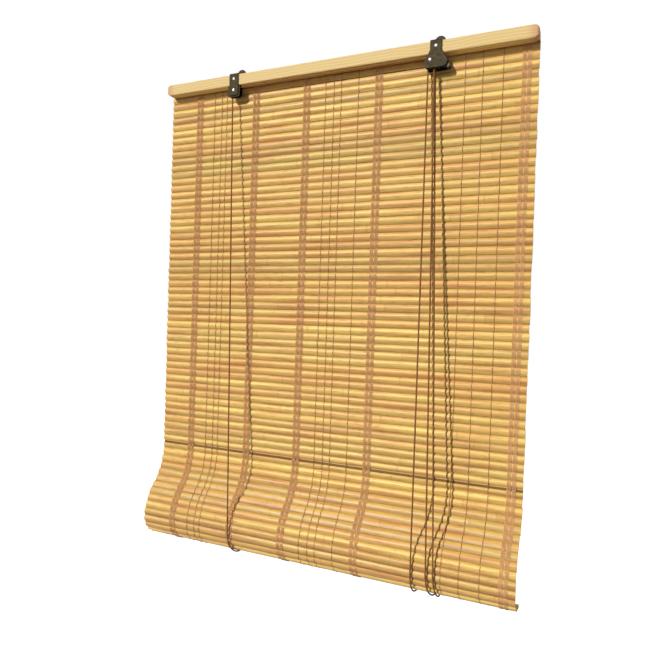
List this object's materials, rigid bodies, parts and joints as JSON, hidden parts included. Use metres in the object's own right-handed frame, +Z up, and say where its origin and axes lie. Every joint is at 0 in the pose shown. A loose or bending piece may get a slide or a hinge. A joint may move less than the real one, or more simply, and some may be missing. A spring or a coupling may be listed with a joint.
{
  "type": "bamboo roll up blind",
  "caption": "Bamboo roll up blind: split slats woven on brown warp threads, hung from a pine headrail on steel straps, with cord pulleys and a toothed cord lock.",
  "frame": {"origin": "midway between the two hanging eyes, on the wall plane at the back of the strap tabs", "axes": "+X along the headrail to the right as seen from the room, -Y towards the room, +Z up"},
  "size_m": [0.6, 0.0542, 0.7804],
  "materials": {
    "pine": "planed pale pine, thin clear lacquer",
    "bamboo": "split bamboo, honey coloured, satin",
    "warp_thread": "brown twisted cotton thread",
    "bright_steel": "bright plated steel",
    "bronzed_steel": "dark bronzed steel, half matt",
    "black_nylon": "black nylon",
    "cord": "brown braided cord"
  },
  "bodies": {
    "blind": {"headrail": "pine", "slat_mat": "bamboo", "bottom_batten": "bamboo", "warp_band_1": "warp_thread", "warp_band_2": "warp_thread", "warp_band_3": "warp_thread", "warp_band_4": "warp_thread", "warp_band_5": "warp_thread", "mat_tacks": "bright_steel", "cord_tacks": "bright_steel", "left_strap": "bronzed_steel", "left_saddle": "bronzed_steel", "left_pulley_rivet": "bright_steel", "left_screw": "bright_steel", "lock_strap": "bronzed_steel", "lock_saddle": "bronzed_steel", "lock_pulley_rivet": "bright_steel", "lock_cam_pin": "bronzed_steel", "lock_post": "bronzed_steel", "lock_screw": "bright_steel", "left_cord": "cord", "right_cord": "cord", "pull_knot": "cord"},
    "left_wheel": {"left_pulley": "black_nylon"},
    "front_wheel": {"lock_front_pulley": "black_nylon"},
    "rear_wheel": {"lock_rear_pulley": "black_nylon"},
    "cam": {"lock_cam": "bronzed_steel"}
  },
  "joints": [
    {"name": "left_pulley_spin", "type": "hinge", "parent": "blind", "child": "left_wheel", "pos_m": [-0.165, -0.0184, -0.0325], "axis": [0, 1, 0], "continuous": true},
    {"name": "front_pulley_spin", "type": "hinge", "parent": "blind", "child": "front_wheel", "pos_m": [0.157, -0.0184, -0.0325], "axis": [0, 1, 0], "continuous": true},
    {"name": "rear_pulley_spin", "type": "hinge", "parent": "blind", "child": "rear_wheel", "pos_m": [0.157, -0.0132, -0.0325], "axis": [0, 1, 0], "continuous": true},
    {"name": "lock_cam_pivot", "type": "hinge", "parent": "blind", "child": "cam", "pos_m": [0.1725, -0.0158, -0.0365], "axis": [0, 1, 0], "range_deg": [-35, 0]}
  ],
  "couplings": [
    {"joint": "front_pulley_spin", "follows": "left_pulley_spin", "ratio": 1}
  ]
}
